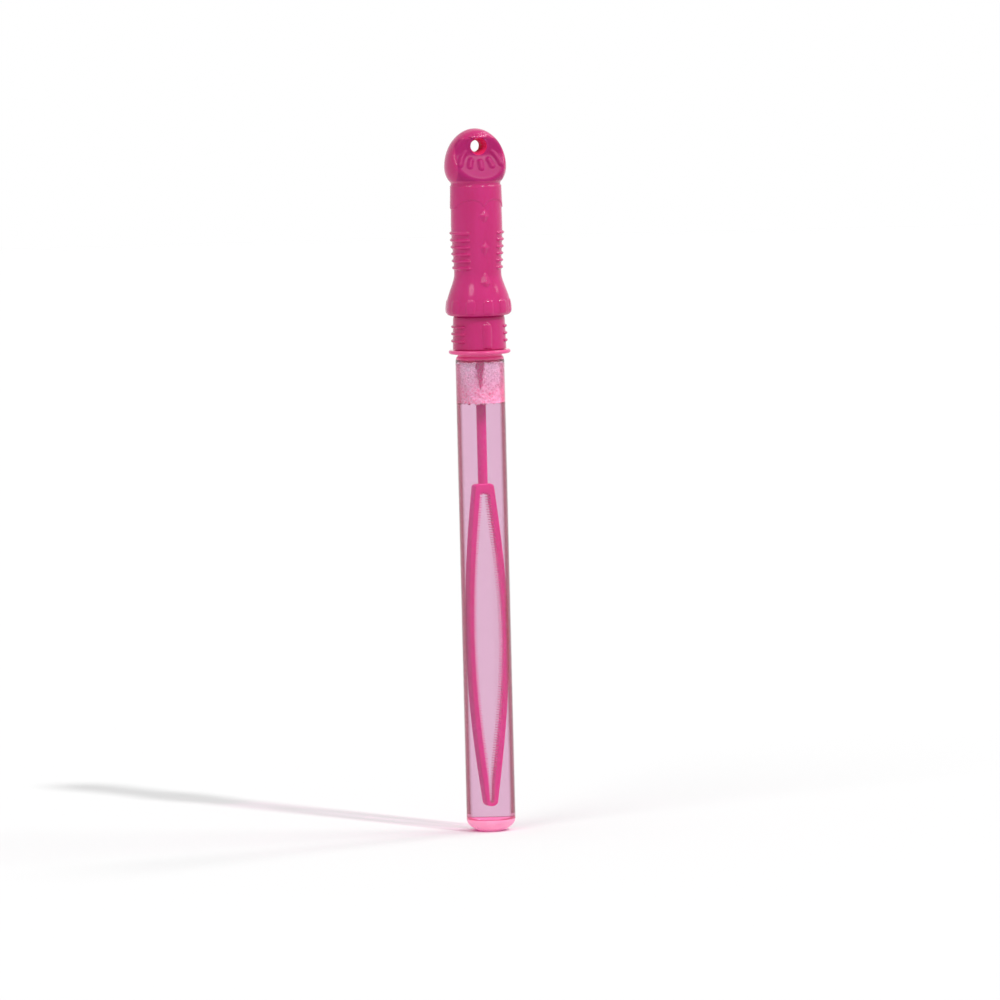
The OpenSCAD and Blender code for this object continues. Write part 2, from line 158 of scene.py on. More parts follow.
def combine(piece, tool, operation):
    fit = piece.modifiers.new(operation, "BOOLEAN")
    fit.operation = operation
    fit.solver = "EXACT"
    fit.object = tool
    pick(piece)
    bpy.ops.object.modifier_apply(modifier=fit.name)
    bpy.data.objects.remove(tool)
    return piece


def applied(piece, kind, **settings):
    change = piece.modifiers.new(kind, kind)
    for key, value in settings.items():
        setattr(change, key, value)
    pick(piece)
    bpy.ops.object.modifier_apply(modifier=change.name)
    return piece


def softened(piece, voxel, rounds):  # an even skin over the form, smoothed a number of times
    applied(piece, "REMESH", mode="VOXEL", voxel_size=voxel, use_smooth_shade=True)
    return applied(piece, "SMOOTH", factor=0.5, iterations=rounds)


def fused(piece, extras, voxel, rounds):  # joins closed forms under one soft moulded skin
    pick(piece, *extras)
    bpy.ops.object.join()
    return softened(piece, voxel, rounds)


def settled(piece, location=False, rotation=False, scale=False):  # puts its place into its mesh
    pick(piece)
    bpy.ops.object.transform_apply(location=location, rotation=rotation, scale=scale)
    return piece


def smoothShaded(piece, angle):
    pick(piece)
    bpy.ops.object.shade_smooth_by_angle(angle=math.radians(angle))
    return piece


def span(low, high, count):
    return [low + (high - low) * i / count for i in range(count + 1)]


def ease(low, high, share):  # from low to high, slow at both ends
    return low + (high - low) * (1 - math.cos(math.pi * share)) / 2


# Shader helpers

class Wire:  # an output socket; sums and products of wires add Math nodes
    def __init__(self, finish, socket):
        self.finish = finish
        self.socket = socket

    def calc(self, operation, first, second):
        return self.finish.add("ShaderNodeMath", {"operation": operation}, {0: first, 1: second})

    def __add__(self, other):
        return self.calc("ADD", self, other)

    def __sub__(self, other):
        return self.calc("SUBTRACT", self, other)

    def __rsub__(self, other):
        return self.calc("SUBTRACT", other, self)

    def __mul__(self, other):
        return self.calc("MULTIPLY", self, other)

    __radd__ = __add__
    __rmul__ = __mul__


class Finish:  # a node tree with one way to add any node
    def __init__(self, owner):
        owner.use_nodes = True
        self.owner = owner
        self.tree = owner.node_tree
        self.tree.nodes.clear()

    def add(self, kind, settings=None, sockets=None, output=0):
        node = self.tree.nodes.new(kind)
        for key, value in (settings or {}).items():
            if key == "stops":
                self.setStops(node.color_ramp, value)
            else:
                setattr(node, key, value)
        for key, value in (sockets or {}).items():
            if isinstance(value, Wire):
                self.tree.links.new(value.socket, node.inputs[key])
            else:
                node.inputs[key].default_value = value
        return Wire(self, node.outputs[output]) if len(node.outputs) else node

    def setStops(self, ramp, stops):
        for place, colour in stops[2:]:
            ramp.elements.new(place)
        for element, (place, colour) in zip(ramp.elements, sorted(stops)):
            element.position = place
            element.color = colour

    def place(self, stretch=(1, 1, 1)):  # the piece's own coordinates, stretched
        coords = self.add("ShaderNodeTexCoord", output="Object")
        return self.add("ShaderNodeMapping", {}, {"Vector": coords, "Scale": stretch})

    def height(self):
        return self.add("ShaderNodeSeparateXYZ", {}, {0: self.place()}, output=2)

    def noise(self, scale, detail, stretch=(1, 1, 1)):
        return self.add("ShaderNodeTexNoise", {}, {
            "Vector": self.place(stretch), "Scale": scale, "Detail": detail, "Roughness": 0.5})

    def blend(self, share, first, second):  # colours mixed by a wire
        return self.add("ShaderNodeMix", {"data_type": "RGBA"}, {
            "Factor": share, 6: first, 7: second}, output=2)

    def ramp(self, share, stops):
        return self.add("ShaderNodeValToRGB", {"stops": stops}, {"Fac": share})

    def bump(self, height, strength, distance):
        return self.add("ShaderNodeBump", {}, {
            "Height": height, "Strength": strength, "Distance": distance})

    def show(self, surface, volume=None):
        sockets = {"Surface": surface}
        if volume:
            sockets["Volume"] = volume
        self.add("ShaderNodeOutputMaterial", {}, sockets)
        return self.owner


def rgb(red, green, blue):  # a colour as seen on screen, 0 to 255
    def linear(level):
        share = level / 255
        return share / 12.92 if share <= 0.04045 else ((share + 0.055) / 1.055) ** 2.4
    return (linear(red), linear(green), linear(blue), 1)


def grey(level):
    return (level, level, level, 1)


# Materials

softPlastic = {
    "light": rgb(194, 40, 118),
    "deep": rgb(176, 26, 96),
    "shade": 0.0,  # moves the mix towards the deep colour
    "mixFrom": -0.6,
    "mixContrast": 2.2,
    "streakScale": 90,
    "streakStretch": (1, 1, 0.18),
    "streakShare": 0.6,
    "cloudScale": 30,
    "scuffScale": 540,
    "scuffStretch": (1, 1, 0.4),
    "scuffShare": 0.7,
    "grainScale": 2600,
    "roughness": 0.07,
    "roughnessSpan": 0.09,
    "gloss": 0.3,
    # painted glow: emission that brightens a part as if it were lit
    "glow": 0.0,
    "subsurface": 0.35,
    "subsurfaceReach": (1.0, 0.25, 0.55),
    "subsurfaceScale": 2.2 * mm,
    "bump": 0.16,
    "bumpDepth": 0.05 * mm,
}


def mouldedPlastic(name, **changes):
    look = {**softPlastic, **changes}
    finish = Finish(bpy.data.materials.new(name))
    streaks = finish.noise(look["streakScale"], 4, look["streakStretch"])
    clouds = finish.noise(look["cloudScale"], 2)
    scuffs = finish.noise(look["scuffScale"], 5, look["scuffStretch"])
    grain = finish.noise(look["grainScale"], 2)
    share = finish.add("ShaderNodeMath", {"operation": "MULTIPLY_ADD", "use_clamp": True}, {
        0: streaks * look["streakShare"] + clouds * (1 - look["streakShare"]),
        1: look["mixContrast"],
        2: look["mixFrom"] + look["shade"]})
    colour = finish.blend(share, look["light"], look["deep"])
    relief = grain * (1 - look["scuffShare"]) + scuffs * look["scuffShare"]
    plastic = finish.add("ShaderNodeBsdfPrincipled", {}, {
        "Base Color": colour,
        "Roughness": look["roughness"] + scuffs * look["roughnessSpan"],
        "Specular IOR Level": look["gloss"],
        # painted glow: emission in the plastic's own colour stands in for light
        "Emission Color": colour,
        "Emission Strength": look["glow"],
        "Subsurface Weight": look["subsurface"],
        "Subsurface Radius": look["subsurfaceReach"],
        "Subsurface Scale": look["subsurfaceScale"],
        "Normal": finish.bump(relief, look["bump"], look["bumpDepth"])})
    return finish.show(plastic)


handleFinish = mouldedPlastic("softMagentaHandle")
capFinish = mouldedPlastic("softMagentaCap", shade=0.1)
stickGlowFinish = mouldedPlastic(  # brighter and pinker, with a painted glow: emission that lifts the stick out of its shade inside the tube
    "softMagentaStickPaintedGlow", light=rgb(208, 6, 142), deep=rgb(194, 6, 120), shade=0.05, gloss=0.12,
    glow=0.22)
# the head's sloping faces: matte, and darker as painted shade that evens out the key lamp's extra
# light on them
faceShadedFinish = mouldedPlastic(
    "softMagentaFacePaintedShade", light=rgb(174, 32, 110), deep=rgb(156, 20, 90), gloss=0.16, roughness=0.34)
# the hole's wall: a brighter, redder colour painted as light glowing through the translucent
# plastic
holeLitFinish = mouldedPlastic(
    "softMagentaHolePaintedLight", light=rgb(232, 50, 112), deep=rgb(214, 38, 96), gloss=0.05, roughness=0.6)


clearPlastic = {
    "face": rgb(250, 246, 250),
    # painted shade: the colour that the grazing edges take
    "rim": rgb(226, 190, 204),
    "rimFrom": 0.6,
    "rimTo": 0.9,
    "ior": 1.49,
    "gloss": 0.2,
    "roughness": 0.005,
    "smear": 0.015,
    "wispScale": 60,
    "wispStretch": (1, 1, 0.15),
    "bump": 0.06,
    "bumpDepth": 0.1 * mm,
    "depthColour": (0.72, 0.09, 0.44, 1),
    "depthDensity": 225,
}
clearLiquid = {
    **clearPlastic,
    "face": rgb(252, 250, 253),
    # painted shade: dark crimson edges in place of the refraction bands
    "rim": rgb(136, 24, 50),
    "endPaintedRim": rgb(226, 112, 150),  # painted rim shade, paler and pinker in the foot and behind the froth
    "rimMiddle": 116.2 * mm,
    "rimReach": 107 * mm,
    "rimFrom": 0.16,
    "rimTo": 0.22,
    "ior": 1.33,
    "gloss": 0.5,
    "roughness": 0.0,
    "smear": 0.0,
    "depthColour": (0.72, 0.11, 0.42, 1),
    "depthDensity": 8,
}


def clearTint(name, look):
    # Clear plastic or liquid: its colour deepens with the way through it, and lamp light passes;
    # the rim colour at the edges that face away is painted shade
    finish = Finish(bpy.data.materials.new(name))
    # painted shade: edges that face away from the view take the rim colour
    facing = finish.add("ShaderNodeLayerWeight", {}, {"Blend": 0.5}, output="Facing")
    rim = finish.ramp(facing, [(look["rimFrom"], grey(0)), (look["rimTo"], grey(1))])
    wisps = finish.noise(look["wispScale"], 3, look["wispStretch"])
    edge = look["rim"]
    if "endPaintedRim" in look:
        between = finish.add("ShaderNodeMath", {"operation": "COMPARE"}, {
            0: finish.height(), 1: look["rimMiddle"], 2: look["rimReach"]})
        edge = finish.blend(between, look["endPaintedRim"], edge)
    clear = finish.add("ShaderNodeBsdfPrincipled", {}, {
        "Base Color": finish.blend(rim, look["face"], edge),
        "Roughness": look["roughness"] + wisps * look["smear"],
        "IOR": look["ior"],
        "Specular IOR Level": look["gloss"],
        "Transmission Weight": 1,
        "Normal": finish.bump(wisps, look["bump"], look["bumpDepth"])})
    passing = finish.add("ShaderNodeBsdfTransparent", {}, {"Color": look["face"]})
    shadow = finish.add("ShaderNodeLightPath", output="Is Shadow Ray")
    depth = finish.add("ShaderNodeVolumeAbsorption", {}, {
        "Color": look["depthColour"], "Density": look["depthDensity"]})
    surface = finish.add("ShaderNodeMixShader", {}, {0: shadow, 1: clear, 2: passing})
    return finish.show(surface, depth)


tubeFinish = clearTint("tintedClearTube", clearPlastic)
liquidFinish = clearTint("bubbleSolution", clearLiquid)


neckGlowLook = {
    "light": rgb(238, 92, 164),
    "deep": rgb(222, 60, 128),
    "cloudScale": 140,
    "cloudStretch": (1, 1, 0.5),
    # painted glow: emission standing in for light gathered in the thick ring
    "glow": 0.08,
    "roughness": 0.08,
    "roughnessSpan": 0.05,
    "clearShare": 0.35,
    "ior": 1.49,
    "bump": 0.08,
    "bumpDepth": 0.1 * mm,
}
footGlowLook = {
    **neckGlowLook,
    "light": rgb(255, 194, 226),
    "deep": rgb(246, 150, 198),
    # painted glow: emission and a pale colour standing in for light gathered in the thick foot
    "glow": 0.16,
    "roughness": 0.06,
    "clearShare": 0.5,
}


def thickPaintedGlow(name, look):  # the same plastic where it is thick, with a painted glow: emission and a pinker, partly opaque colour stand in for the light gathered inside
    finish = Finish(bpy.data.materials.new(name))
    clouds = finish.noise(look["cloudScale"], 3, look["cloudStretch"])
    colour = finish.blend(clouds, look["light"], look["deep"])
    return finish.show(finish.add("ShaderNodeBsdfPrincipled", {}, {
        "Base Color": colour,
        "Emission Color": colour,
        "Emission Strength": look["glow"],
        "Roughness": look["roughness"] + clouds * look["roughnessSpan"],
        "IOR": look["ior"],
        "Transmission Weight": look["clearShare"],
        "Normal": finish.bump(clouds, look["bump"], look["bumpDepth"])}))


neckGlowFinish = thickPaintedGlow("tintedThickNeckPaintedGlow", neckGlowLook)
footGlowFinish = thickPaintedGlow("tintedThickFootPaintedGlow", footGlowLook)


sealRubber = {
    "light": rgb(240, 236, 228),
    "deep": rgb(222, 214, 202),
    "chalkScale": 220,
    "grainScale": 1800,
    "roughness": 0.6,
    "roughnessSpan": 0.25,
    "bump": 0.3,
    "bumpDepth": 0.08 * mm,
}


def rubberFinish(name, look):
    finish = Finish(bpy.data.materials.new(name))
    grain = finish.noise(look["grainScale"], 3)
    chalk = finish.noise(look["chalkScale"], 3)
    return finish.show(finish.add("ShaderNodeBsdfPrincipled", {}, {
        "Base Color": finish.blend(chalk, look["light"], look["deep"]),
        "Roughness": look["roughness"] + grain * look["roughnessSpan"],
        "Normal": finish.bump(grain, look["bump"], look["bumpDepth"])}))


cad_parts["cap_seal"].data.materials.clear()
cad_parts["cap_seal"].data.materials.append(rubberFinish("paleSealRubber", sealRubber))
print("materials made")


# Handle: two moulded shells around the screw cap's plug

handle = {
    "bellRadius": 16.9 * mm,
    "bellHeight": 21.6 * mm,
    "bellEdgeHeight": 3 * mm,
    "bellEdgeIn": 1.7 * mm,
    "bellFlare": 0.85,
    "waistRadius": 12.25 * mm,
    "bellyRadius": 13.35 * mm,
    "bellyHeight": 25.7 * mm,
    "gripHeight": 47.3 * mm,
    "necklineRadius": 12.85 * mm,
    "necklineOut": 0.1 * mm,
    "necklineDrop": 0.2 * mm,
    "headSunk": 0.6 * mm,
    "headRise": 0.4 * mm,
    "headRadius": 16.2 * mm,
    "headTopHeight": 20.1 * mm,
    "headLowHeight": 7.7 * mm,
    "headLowReach": 13.5 * mm,
    "holeDrop": 9.2 * mm,
    "holeRadius": 3.1 * mm,
    "holeMouth": 4.4 * mm,
    "holeLength": 5 * mm,
    "holeOverlap": 0.2 * mm,
    "holeTool": 9 * mm,
    "wall": 1.6 * mm,
    "wayRadius": 10.7 * mm,
    "wayFlat": 9.7 * mm,
    "wayDepth": 2 * mm,
    "partingGap": 0.01 * mm,
    # the sloping faces that take the matte finish with painted shade
    "insetRise": 3.9 * mm,
    "insetHalf": 12.5 * mm,
    "insetDepth": 4 * mm,
    "voxel": 0.27 * mm,
    "softness": 1,
    "headVoxel": 0.4 * mm,
    "crownVoxel": 0.3 * mm,
    "headSoftness": 90,
    "crownSoftness": 5,
    "cutReach": 1.2,  # tools reach this far past the widest radius
}
waistZ = handleLow.z + handle["bellHeight"]
bellyZ = waistZ + handle["bellyHeight"]
headZ = waistZ + handle["gripHeight"]
crownZ = headZ + handle["headLowHeight"]
holeZ = handleHigh.z - handle["holeDrop"]


def gripRadius(z):
    low = handleLow.z
    edge = handle["bellEdgeHeight"]
    if z < low + edge:
        dip = 1 - (z - low) / edge
        return handle["bellRadius"] - handle["bellEdgeIn"] * (1 - math.sqrt(max(0, 1 - dip * dip)))
    if z < waistZ:
        share = ((waistZ - z) / (handle["bellHeight"] - edge)) ** handle["bellFlare"]
        return ease(handle["waistRadius"], handle["bellRadius"], share)
    if z < bellyZ:
        return ease(handle["waistRadius"], handle["bellyRadius"], (z - waistZ) / (bellyZ - waistZ))
    return ease(handle["bellyRadius"], handle["necklineRadius"], (z - bellyZ) / (headZ - bellyZ))


def eggRadius(z):
    reach = handle["headLowReach"] if z < crownZ else handle["headTopHeight"]
    return handle["headRadius"] * math.sqrt(max(0, 1 - ((z - crownZ) / reach) ** 2))


scoop = {  # half depth of the head's faces, from the neckline up to the hole
    "lowZ": headZ + 1.5 * mm,
    "highZ": holeZ - 3.6 * mm,
    "lowDepth": 14.2 * mm,
    "highDepth": 6.6 * mm,
    "bend": 1.15,
    "browShare": 0.84,
    "browHoleHalf": 3 * mm,
    "browHoleRise": 4.2 * mm,
    "browEdgeHalf": 9.4 * mm,
    "browEdgeDrop": 2.6 * mm,
    "browTopDrop": 0.6 * mm,
}


def scoopDepth(z):
    share = (z - scoop["lowZ"]) / (scoop["highZ"] - scoop["lowZ"])
    left = 1 - min(1, share)
    return scoop["highDepth"] + (scoop["lowDepth"] - scoop["highDepth"]) * left ** scoop["bend"]


def gripForm(name, grow=0.0):
    low = handleLow.z
    edge = low + handle["bellEdgeHeight"]
    heights = span(low, edge, 8) + span(edge, waistZ, 20)[1:] + span(waistZ, headZ, 28)[1:]
    outline = [(0, low)] + [(gripRadius(z) + grow, z) for z in heights] + [(0, headZ)]
    return turned(name, outline, 128)


def eggForm(name):
    lower = [(eggRadius(z), z) for z in span(headZ + handle["headRise"], crownZ, 8)]
    upper = []
    for angle in span(0, math.pi / 2, 24)[1:]:
        upper.append((handle["headRadius"] * math.cos(angle),
                      crownZ + handle["headTopHeight"] * math.sin(angle)))
    upper[-1] = (0, crownZ + handle["headTopHeight"])
    neck, sunk = handle["necklineRadius"], headZ - handle["headSunk"]
    foot = [(0, sunk), (neck, sunk), (neck + handle["necklineOut"], headZ - handle["necklineDrop"])]
    return turned(name, foot + lower + upper, 128)


def headForm():
    # A soft egg whose two faces slope in towards the hole
    egg = eggForm("egg")
    wide = handle["headRadius"] * handle["cutReach"]
    high = handleHigh.z + mm
    slope = [(scoopDepth(z), z) for z in span(scoop["lowZ"] - mm, scoop["highZ"], 16)]
    shape = slope + [(scoop["highDepth"], high), (wide, high), (wide, slope[0][1])]
    for side in (-1, 1):
        tool = pulled("scoopTool", [(side * y, z) for y, z in shape], "X", -wide, wide)
        combine(egg, tool, "DIFFERENCE")
    return softened(egg, handle["headVoxel"], handle["headSoftness"])


def crownDepth(across, z):
    return scoop["browShare"] * math.sqrt(max(0, eggRadius(z) ** 2 - across ** 2))


def crownForm():
    # The brow above the hole stands proud of the sloping faces and domes over the top
    crown = eggForm("crown")
    crown.scale.y = scoop["browShare"]
    settled(crown, scale=True)
    wide = handle["headRadius"] * handle["cutReach"]
    top = handleHigh.z
    right = [(scoop["browHoleHalf"], holeZ + scoop["browHoleRise"]),
             (scoop["browEdgeHalf"], top - scoop["browEdgeDrop"]),
             (wide, top - scoop["browTopDrop"]), (wide, top + mm)]
    shape = right + [(-x, z) for x, z in reversed(right)]
    combine(crown, pulled("browTool", shape, "Y", -wide, wide), "INTERSECT")
    return softened(crown, handle["crownVoxel"], handle["crownSoftness"])


petal = {
    "radius": 1.6 * mm,
    "sunk": 0.75 * mm,
    "steps": 12,
    "endShare": 1 / 6,
    "endTaper": 0.4,
    "runs": [  # across and up from the hole, in millimetres: both ends, and the bow between them
        (0, -7.0, 0, -13.0, 0),
        (4.1, -6.1, 6.3, -12.0, 0.3),
        (6.0, -1.8, 11.3, -11.2, 1.1),
    ],
    "fluteRadius": 0.5 * mm,
    "fluteTaper": (0.4, 1, 1, 1, 1, 0.8, 0.3),
    "flutePitch": 1.5 * mm,
    "fluteRise": 4.8 * mm,
    "fluteDrop": 2.2 * mm,
    "fluteMeet": 30 * mm,
    "fluteSunk": 0.15 * mm,
    "flutes": 2,
    "rimRadius": 4.5 * mm,
    "rimBead": 0.62 * mm,
    "rimSunk": 0.1 * mm,
}


def alongFace(points, bow):
    # A bowed bead that lies on the head's front face; points are (across, up from the hole)
    (fromX, fromZ), (toX, toZ) = points
    places = []
    radii = []
    for share in span(0, 1, petal["steps"]):
        across = fromX + (toX - fromX) * share + bow * math.sin(math.pi * share)
        z = holeZ + fromZ + (toZ - fromZ) * share
        egg = math.sqrt(max(0, eggRadius(z) ** 2 - across ** 2))
        places.append(Vector((across, petal["sunk"] - min(scoopDepth(z), egg), z)))
        end = min(1, min(share, 1 - share) / petal["endShare"])
        taper = petal["endTaper"] + (1 - petal["endTaper"]) * math.sin(math.pi / 2 * end)
        radii.append(petal["radius"] * taper)
    return places, radii


def faceFigures():
    beads = []
    for x, z, endX, endZ, bow in petal["runs"]:
        for side in (-1, 1) if endX else (1,):
            run = [(side * x * mm, z * mm), (side * endX * mm, endZ * mm)]
            places, radii = alongFace(run, side * bow * mm)
            beads.append(ridge("petal", places, radii))
    for k in range(-petal["flutes"], petal["flutes"] + 1):  # up the brow above the hole
        places = []
        for z in span(holeZ + petal["fluteRise"], handleHigh.z - petal["fluteDrop"], 6):
            across = k * petal["flutePitch"] * (1 - (z - holeZ) / petal["fluteMeet"])
            places.append(Vector((across, petal["fluteSunk"] - crownDepth(across, z), z)))
        radii = [petal["fluteRadius"] * share for share in petal["fluteTaper"]]
        beads.append(ridge("flute", places, radii))
    rim = []
    around, rimY = petal["rimRadius"], petal["rimSunk"] - scoop["highDepth"]
    for angle in span(0, 2 * math.pi, 40):
        rim.append(Vector((around * math.cos(angle), rimY, holeZ + around * math.sin(angle))))
    beads.append(ridge("holeRim", rim, [petal["rimBead"]] * len(rim)))
    for bead in list(beads):  # the same figures on the back face
        pick(bead)
        bpy.ops.object.duplicate()
        twin = bpy.context.object
        twin.scale = (1, -1, 1)
        settled(twin, scale=True)
        bpy.ops.object.mode_set(mode="EDIT")
        closeUp()
        beads.append(twin)
    return beads


rib = {
    "radius": 0.78 * mm,
    "sunk": -0.22 * mm,
    "count": 6,
    "pitch": 3.59 * mm,
    "rise": 3.2 * mm,
    "angle": 34,
    "capCount": 3,
    "capPitch": 3.7 * mm,
    "capRise": 4.4 * mm,
    "capAngle": 50,
    "taper": {0: 0.6, 1: 0.95, -2: 0.95, -1: 0.6},  # thinner at both ends
}


def sideRibs(name, heights, radiusAt, fromAngle):
    ribs = []
    for z in heights:
        reach = radiusAt(z) - rib["sunk"]
        for side in (-1, 1):
            places = []
            for angle in span(fromAngle, 180 - fromAngle, 24):
                turn = math.radians(angle)
                places.append(Vector((side * reach * math.sin(turn), -reach * math.cos(turn), z)))
            radii = [rib["radius"]] * len(places)
            for i, share in rib["taper"].items():
                radii[i] = rib["radius"] * share
            ribs.append(ridge(name, places, radii))
    return ribs


figure = {
    "tabWidth": 4.7 * mm,
    "tabHeight": 6.9 * mm,
    "tabRise": 1.2 * mm,
    "tabPitch": 32,
    "tabProud": 0.47 * mm,
    "tabSideProud": 0.28 * mm,
    "tabCorner": 0.6 * mm,
    "diamondWidth": 4.9 * mm,
    "diamondHeight": 7.8 * mm,
    "diamondProud": 1.6 * mm,
    "diamondSunk": 1.6,
    "diamondRises": [-4.7 * mm, 13.9 * mm, 30.2 * mm],
    "grooveDrop": 1.7 * mm,
    "bandHeight": 13.5 * mm,
    "bandProud": 0.48 * mm,
    "archAcross": 6.2 * mm,
    "archRadius": 7.4 * mm,
    "archDrop": 8.6 * mm,
}


def gripFigures():
    wide = handle["bellRadius"] * handle["cutReach"]
    parts = []
    half = figure["tabWidth"] / 2
    corner = figure["tabCorner"]
    low = handleLow.z + figure["tabRise"]
    top = low + figure["tabHeight"]
    shape = [(-half, low), (half, low), (half, top - corner), (half - corner, top),
             (-half + corner, top), (-half, top - corner)]
    for face, k in [(face, k) for face in (0, 180) for k in (-2, -1, 0, 1, 2)]:
        proud = figure["tabProud"] if abs(k) < 2 else figure["tabSideProud"]
        tab = pulled("tab", shape, "Y", -wide, 0)
        tab.rotation_euler.z = math.radians(face + k * figure["tabPitch"])
        settled(tab, rotation=True)
        parts.append(combine(tab, gripForm("tabSkin", proud), "INTERSECT"))
    for rise in figure["diamondRises"]:  # low four-sided points, mostly sunk in the grip
        z = waistZ + rise
        grow, proud = figure["diamondSunk"], figure["diamondProud"]
        for side in (-1, 1):
            clearSelection()
            bpy.ops.mesh.primitive_cone_add(vertices=4, radius1=1, depth=1)
            point = bpy.context.object
            point.name = "diamond"
            point.scale = (grow * figure["diamondWidth"] / 2, grow * figure["diamondHeight"] / 2,
                           grow * proud)
            point.rotation_euler.x = -side * math.pi / 2
            point.location = (0, side * (gripRadius(z) - (grow / 2 - 1) * proud), z)
            parts.append(settled(point, location=True, rotation=True, scale=True))
    low = headZ - figure["bandHeight"]
    archZ = headZ - figure["archDrop"] - figure["archRadius"]
    edge = []
    for x in span(-wide, wide, 96):
        z = low
        for middle in (-figure["archAcross"], figure["archAcross"]):
            reach = figure["archRadius"] ** 2 - (x - middle) ** 2
            if reach > 0:
                z = max(z, archZ + math.sqrt(reach))
        edge.append((x, z))
    shelf = headZ - figure["grooveDrop"]
    band = pulled("band", edge + [(wide, shelf), (-wide, shelf)], "Y", -wide, wide)
    parts.append(combine(band, gripForm("bandSkin", figure["bandProud"]), "INTERSECT"))
    return parts


def holeTool():  # straight bore with flared mouths
    half = handle["holeTool"]
    land = handle["holeLength"] / 2
    flare = scoop["highDepth"] + handle["holeOverlap"] - land
    outline = [(0, -half), (handle["holeMouth"], -half), (handle["holeMouth"], -land - flare)]
    spread = handle["holeMouth"] - handle["holeRadius"]
    outline += [(handle["holeRadius"] + spread * share, -land - flare * share)
                for share in span(1, 0, 6)[1:]]
    outline += [(r, -z) for r, z in reversed(outline)]
    tool = turned("holeTool", outline, 64)
    tool.rotation_euler.x = math.pi / 2
    tool.location.z = holeZ
    return settled(tool, location=True, rotation=True)


def handleHollow():
    floor = handleLow.z + handle["wall"]
    outline = [(0, floor)]
    for z in span(floor, headZ, 40):
        outline.append((gripRadius(z) - handle["wall"], z))
    dome = handle["necklineRadius"] - handle["wall"]
    for angle in span(0, math.pi / 2, 10)[1:-1]:
        outline.append((dome * math.cos(angle), headZ + handle["headLowHeight"] * math.sin(angle)))
    outline.append((0, headZ + handle["headLowHeight"]))
    return turned("hollow", outline, 64)


def buildHandle():
    body = gripForm("gripBody")
    extras = [headForm(), crownForm()] + faceFigures() + gripFigures()
    heights = [waistZ + rib["rise"] + i * rib["pitch"] for i in range(rib["count"])]
    extras += sideRibs("gripRib", heights, gripRadius, rib["angle"])
    fused(body, extras, handle["voxel"], handle["softness"])
    combine(body, holeTool(), "DIFFERENCE")
    softened(body, handle["voxel"], handle["softness"])
    shells = []
    wide = handle["bellRadius"] * handle["cutReach"]
    low, high = handleLow.z, handleHigh.z
    for name, side in (("handleFrontShell", -1), ("handleBackShell", 1)):
        pick(body)
        bpy.ops.object.duplicate()
        shell = bpy.context.object
        shell.name = shell.data.name = name
        half = slab("half", (-wide, wide), (low - mm, high + mm), "Y",
                    (side * handle["partingGap"], side * wide))
        combine(shell, half, "INTERSECT")
        combine(shell, handleHollow(), "DIFFERENCE")
        combine(shell, plugWay(), "DIFFERENCE")
        shells.append(smoothShaded(shell, 50))
    bpy.data.objects.remove(body)
    return shells


def plugWay():  # opening in the handle's floor for the cap's plug, with its two flats
    floor = handleLow.z
    radius, flat, depth = handle["wayRadius"], handle["wayFlat"], handle["wayDepth"]
    way = rod("plugWay", radius, floor - mm, floor + depth, 64)
    flats = slab("flats", (-flat, flat), (floor - 2 * mm, floor + depth + mm), "X",
                 (-20 * mm, 20 * mm))
    return combine(way, flats, "INTERSECT")


for shell, node in zip(buildHandle(), ("handle_front", "handle_back")):
    for finish in (handleFinish, holeLitFinish, faceShadedFinish):
        shell.data.materials.append(finish)
    for face in shell.data.polygons:  # the hole's wall, with painted light, and the head's sloping faces, matte and with painted shade
        spot = face.center
        across, rise = abs(spot.x), spot.z - holeZ
        if math.hypot(across, rise) < handle["holeMouth"] and abs(face.normal.y) < 0.6:
            face.material_index = 1
        elif (headZ + mm < spot.z and rise < handle["insetRise"] and across < handle["insetHalf"]
                and abs(spot.y) > handle["insetDepth"]):
            face.material_index = 2
    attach(shell, "handle")
    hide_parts(node)
    print(shell.name, len(shell.data.polygons), "faces")


# Screw cap: ribbed collar, ceiling, socket for the stick and plug for the handle

cap = {
    "radius": 13.9 * mm,
    "topRadius": 13.5 * mm,
    "height": 17.4 * mm,
    "roundHeight": 2.7 * mm,
    "roundIn": 0.8 * mm,
    "footIn": 0.2 * mm,
    "footRise": 0.25 * mm,
    "boreRadius": 11.75 * mm,
    "boreMouth": 0.4 * mm,
    "threadRise": 1.9 * mm,
    "threadSunk": 0.05 * mm,
    "threadThickness": 0.75 * mm,
    "ceilingTop": 14 * mm,
    "ceilingUnder": 12.2 * mm,
    "socketRadius": 2.85 * mm,
    "socketDrop": 0.5 * mm,
    "pegHole": 1.76 * mm,
    "plugRadius": 10.6 * mm,
    "plugBore": 8.6 * mm,
    "plugFlat": 9.6 * mm,
    "toolReach": 14 * mm,
    "rimRadius": 13.5 * mm,
    "rimLow": 19.2 * mm,
    "rimHigh": 20.7 * mm,
    "barProud": 1.15 * mm,
    "barRadius": 3.2 * mm,
    "barRise": 0.9 * mm,
    "barHeight": 13.2 * mm,
    "barTaper": {0: 0.9, -2: 0.92, -1: 0.7},  # thinner at both ends
    "voxel": 0.22 * mm,
    "softness": 2,
    "sealRise": 10.9 * mm,
}
capZ = sealLow.z - cap["sealRise"]
collarTop = capZ + cap["height"]


def capRadius(z):
    share = (z - capZ) / (cap["height"] - cap["roundHeight"])
    return cap["radius"] + (cap["topRadius"] - cap["radius"]) * share


def collarForm(name, grow=0.0):
    corner = cap["topRadius"] - cap["roundIn"]
    foot = cap["radius"] + grow
    outline = [(0, capZ), (foot - cap["footIn"], capZ), (foot, capZ + cap["footRise"])]
    for angle in span(0, math.pi / 2, 10):
        outline.append((corner + cap["roundIn"] * math.cos(angle) + grow,
                        collarTop - cap["roundHeight"] * (1 - math.sin(angle))))
    return turned(name, outline + [(0, collarTop)], 128)


